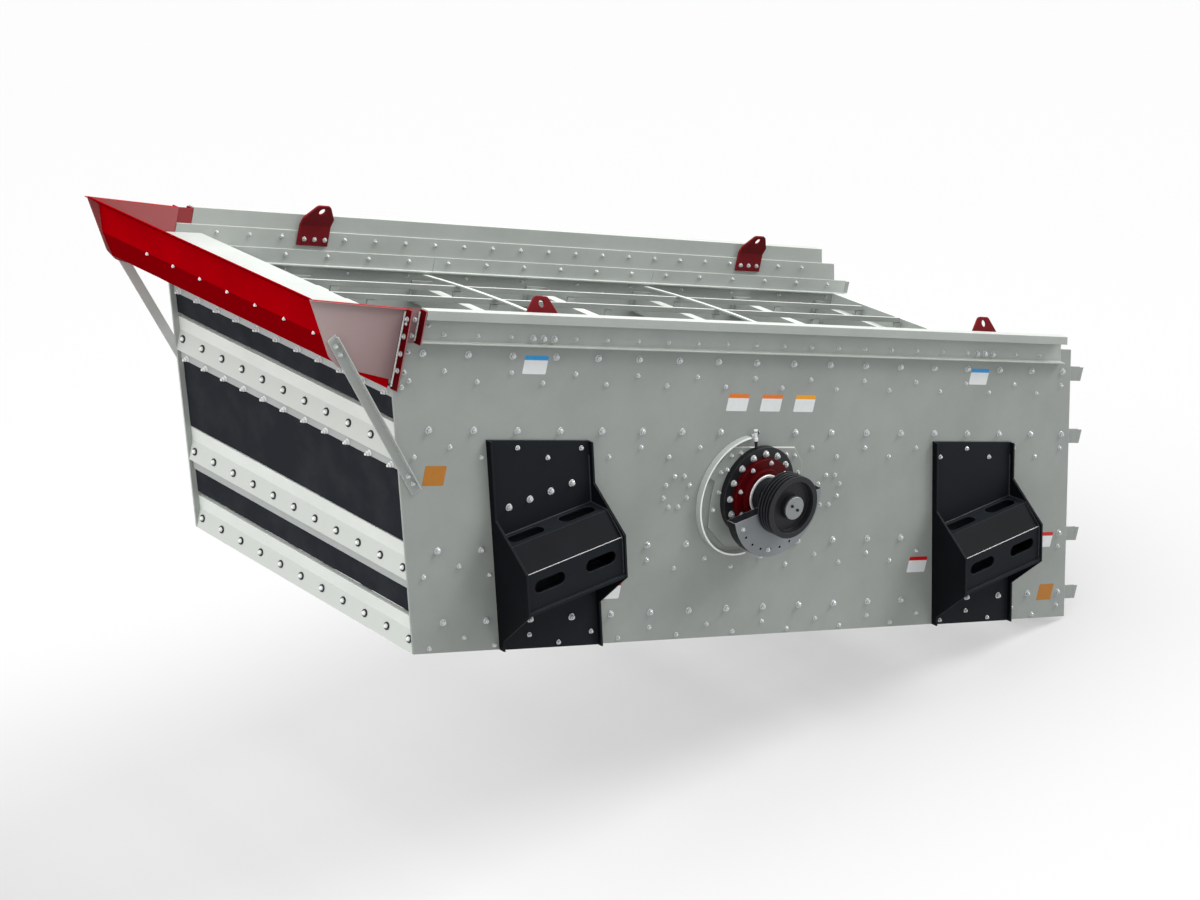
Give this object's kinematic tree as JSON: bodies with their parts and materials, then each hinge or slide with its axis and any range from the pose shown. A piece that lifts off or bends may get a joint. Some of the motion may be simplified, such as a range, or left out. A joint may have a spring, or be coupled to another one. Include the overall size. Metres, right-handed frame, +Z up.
{
  "type": "inclined vibrating screen",
  "caption": "Inclined four-deck vibrating screen with a red feed box, open deck frames, spring brackets and a belt-driven exciter shaft.",
  "frame": {"origin": "middle of the near feed-end spring seat, on its level underside", "axes": "+X level towards the discharge end, +Y across to the far side, +Z up; the decks fall 18 degrees towards +X"},
  "size_m": [6.3504, 3.106, 4.2544],
  "materials": {
    "grey_paint": "satin grey coat",
    "pale_paint": "satin pale grey coat",
    "red_paint": "satin red coat",
    "dark_red_paint": "satin dark red coat",
    "black_paint": "satin black coat",
    "cast_pulley": "painted black",
    "zinc_plated_steel": "bright zinc plate",
    "machined_steel": "turned and milled",
    "curtain_rubber": "smooth sheet rubber"
  },
  "bodies": {
    "frame": {"bearing_covers": "dark_red_paint", "bottom_deck_beams": "grey_paint", "bottom_deck_stringers": "grey_paint", "breather": "zinc_plated_steel", "cross_tubes": "grey_paint", "curtain_clamp_bars": "zinc_plated_steel", "discharge_lips": "grey_paint", "exciter_pads": "grey_paint", "exciter_tube": "grey_paint", "far_bearing_housing": "black_paint", "far_discharge_spring_bracket": "black_paint", "far_feed_box_cheek": "red_paint", "far_feed_spring_bracket": "black_paint", "far_side_liners": "grey_paint", "far_side_plate": "grey_paint", "far_top_rail": "grey_paint", "feed_box_braces": "zinc_plated_steel", "feed_box_flanges": "red_paint", "feed_box_front": "red_paint", "feed_wear_plate": "pale_paint", "guard_bands": "zinc_plated_steel", "lifting_lugs": "dark_red_paint", "lower_feed_cross_plate": "pale_paint", "middle_feed_cross_plate": "pale_paint", "near_bearing_housing": "black_paint", "near_discharge_spring_bracket": "black_paint", "near_feed_box_cheek": "red_paint", "near_feed_spring_bracket": "black_paint", "near_side_liners": "grey_paint", "near_side_plate": "grey_paint", "near_top_rail": "grey_paint", "rubber_curtains": "curtain_rubber", "second_deck_beams": "grey_paint", "second_deck_stringers": "grey_paint", "third_deck_beams": "grey_paint", "third_deck_stringers": "grey_paint", "top_crown_bars": "grey_paint", "top_deck_beams": "grey_paint", "top_deck_stringers": "grey_paint", "upper_curtain_hanger": "zinc_plated_steel", "upper_feed_cross_plate": "pale_paint"},
    "rotor": {"exciter_shaft": "machined_steel", "drive_pulley": "cast_pulley", "near_counterweight": "machined_steel", "far_counterweight": "machined_steel", "shaft_caps": "machined_steel"}
  },
  "joints": [
    {"name": "exciter_spin", "type": "hinge", "parent": "frame", "child": "rotor", "pos_m": [1.70519, 1.365, 0.03924], "axis": [0, 1, 0], "continuous": true}
  ]
}
